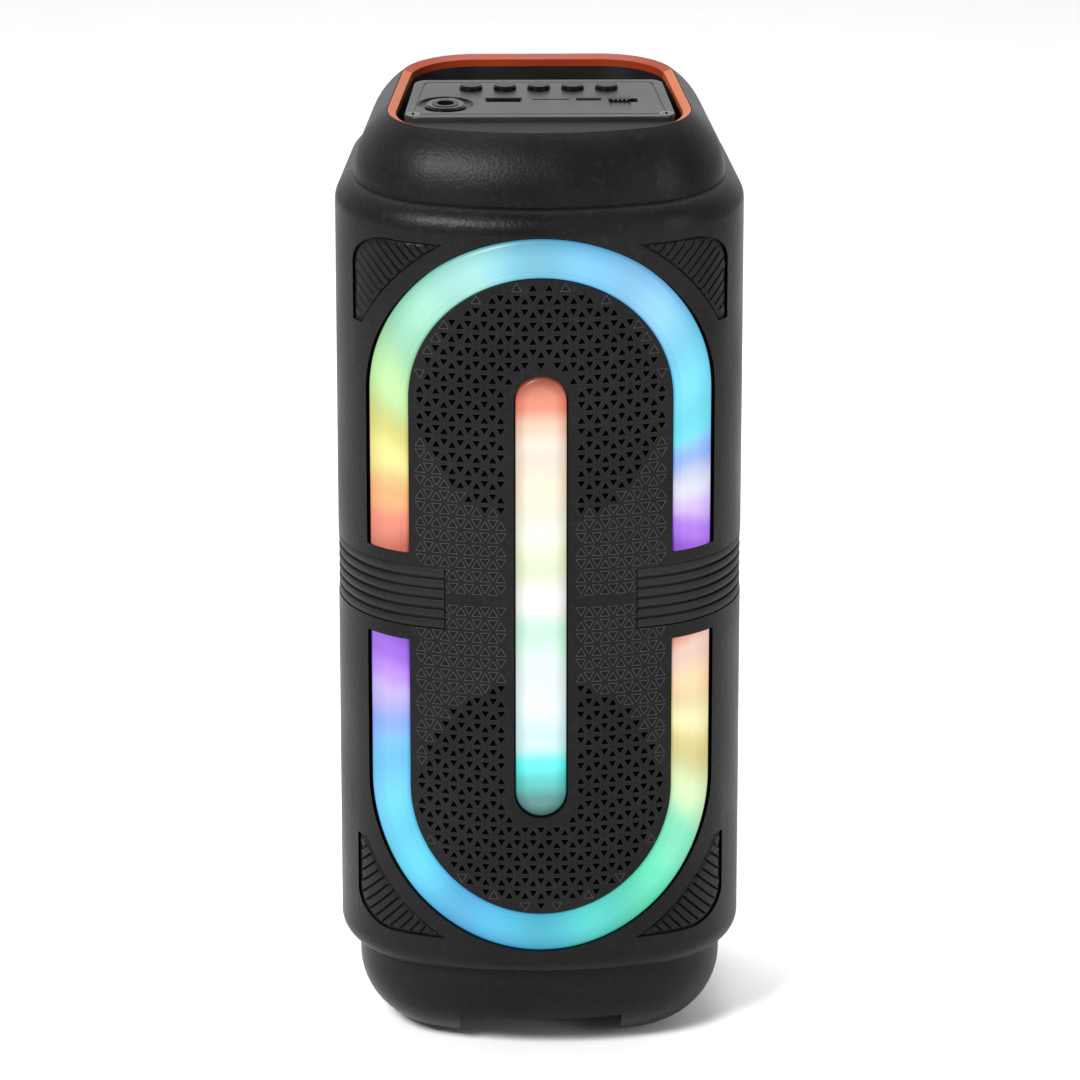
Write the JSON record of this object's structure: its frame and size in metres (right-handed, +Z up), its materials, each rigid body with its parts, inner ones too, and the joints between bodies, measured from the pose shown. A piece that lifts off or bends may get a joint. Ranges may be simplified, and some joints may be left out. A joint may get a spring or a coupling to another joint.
{
  "type": "party speaker",
  "caption": "Portable tower speaker with two drivers behind a perforated front, a split light ring, a light bar, a carry grip and a top control panel.",
  "frame": {"origin": "middle of the footprint, on the surface that the feet stand on", "axes": "+Z up, +X to the right seen from the front, +Y from the front to the back"},
  "size_m": [0.153, 0.146, 0.3688],
  "materials": {
    "shell_black": "satin, fine moulded grain",
    "shell_charcoal": "satin, fine moulded grain",
    "tray_black": "matte",
    "foot_rubber": "matte",
    "trim_red": "satin",
    "trim_orange": "satin",
    "diffuser_ring": "translucent, lit in colour",
    "diffuser_bar": "translucent, lit in colour",
    "grip_rubber": "ribbed, matte",
    "pad_black": "ribbed, satin",
    "panel_grey": "satin grey",
    "button_black": "semi-gloss",
    "screw_steel": "zinc plated",
    "socket_metal": "tin plated",
    "jack_black": "gloss",
    "nut_chrome": "plated",
    "board_green": "solder mask",
    "switch_black": "moulded",
    "lamp_white": "clear",
    "basket_steel": "black paint",
    "magnet_grey": "sintered ferrite",
    "yoke_steel": "zinc plated",
    "cone_black": "pressed pulp and plastic",
    "surround_rubber": "matte",
    "spider_cloth": "resin-set cloth",
    "cell_wrap": "shrink wrap",
    "sink_aluminium": "extruded",
    "lead_black": "insulation"
  },
  "bodies": {
    "cabinet": {"amp_pcb": "board_green", "bar_light_board": "board_green", "battery_cells": "cell_wrap", "battery_holder": "tray_black", "card_socket": "socket_metal", "control_lead": "lead_black", "control_panel": "panel_grey", "control_pcb": "board_green", "corner_pad_lower_left": "pad_black", "corner_pad_lower_right": "pad_black", "corner_pad_upper_left": "pad_black", "corner_pad_upper_right": "pad_black", "diffuser_bar": "diffuser_bar", "diffuser_lower": "diffuser_ring", "diffuser_upper": "diffuser_ring", "driver_frame_lower": "basket_steel", "driver_frame_upper": "basket_steel", "driver_magnet_lower": "magnet_grey", "driver_magnet_upper": "magnet_grey", "driver_spider_lower": "spider_cloth", "driver_spider_upper": "spider_cloth", "driver_surround_lower": "surround_rubber", "driver_surround_upper": "surround_rubber", "driver_yoke_lower": "yoke_steel", "driver_yoke_upper": "yoke_steel", "foot_left": "foot_rubber", "foot_right": "foot_rubber", "front_frame": "tray_black", "front_shell": "shell_black", "heat_sink": "sink_aluminium", "jack_nut": "nut_chrome", "lamps": "lamp_white", "light_lead": "lead_black", "mic_jack": "jack_black", "panel_screws": "screw_steel", "port_tube": "tray_black", "power_switch_body": "switch_black", "rear_shell": "shell_charcoal", "ring_light_boards": "board_green", "shell_screws": "screw_steel", "side_grip_left": "grip_rubber", "side_grip_right": "grip_rubber", "speaker_leads": "lead_black", "supply_lead": "lead_black", "tact_switches": "switch_black", "top_tray": "tray_black", "trim_back": "trim_red", "trim_left": "trim_orange", "trim_right": "trim_orange", "usb_c_port": "socket_metal", "usb_port": "socket_metal", "woofer_screws": "screw_steel"},
    "button_1": {"button_1": "button_black"},
    "button_2": {"button_2": "button_black"},
    "button_3": {"button_3": "button_black"},
    "button_4": {"button_4": "button_black"},
    "button_5": {"button_5": "button_black"},
    "power_slider": {"power_slider": "button_black"},
    "cone_upper": {"driver_cone_upper": "cone_black"},
    "cone_lower": {"driver_cone_lower": "cone_black"}
  },
  "joints": [
    {"name": "button_1_press", "type": "slide", "parent": "cabinet", "child": "button_1", "axis": [0, 0, -1], "range_m": [0, 0.0006], "stiffness_N_per_m": 1500, "springref_m": -0.0003},
    {"name": "button_2_press", "type": "slide", "parent": "cabinet", "child": "button_2", "axis": [0, 0, -1], "range_m": [0, 0.0006], "stiffness_N_per_m": 1500, "springref_m": -0.0003},
    {"name": "button_3_press", "type": "slide", "parent": "cabinet", "child": "button_3", "axis": [0, 0, -1], "range_m": [0, 0.0006], "stiffness_N_per_m": 1500, "springref_m": -0.0003},
    {"name": "button_4_press", "type": "slide", "parent": "cabinet", "child": "button_4", "axis": [0, 0, -1], "range_m": [0, 0.0006], "stiffness_N_per_m": 1500, "springref_m": -0.0003},
    {"name": "button_5_press", "type": "slide", "parent": "cabinet", "child": "button_5", "axis": [0, 0, -1], "range_m": [0, 0.0006], "stiffness_N_per_m": 1500, "springref_m": -0.0003},
    {"name": "power_slide", "type": "slide", "parent": "cabinet", "child": "power_slider", "axis": [1, 0, 0], "range_m": [0, 0.0023]},
    {"name": "cone_upper_stroke", "type": "slide", "parent": "cabinet", "child": "cone_upper", "axis": [0, -1, 0], "range_m": [-0.003, 0.003], "stiffness_N_per_m": 1500, "deforming": ["driver_surround_upper", "driver_spider_upper"]},
    {"name": "cone_lower_stroke", "type": "slide", "parent": "cabinet", "child": "cone_lower", "axis": [0, -1, 0], "range_m": [-0.003, 0.003], "stiffness_N_per_m": 1500, "deforming": ["driver_surround_lower", "driver_spider_lower"]}
  ]
}
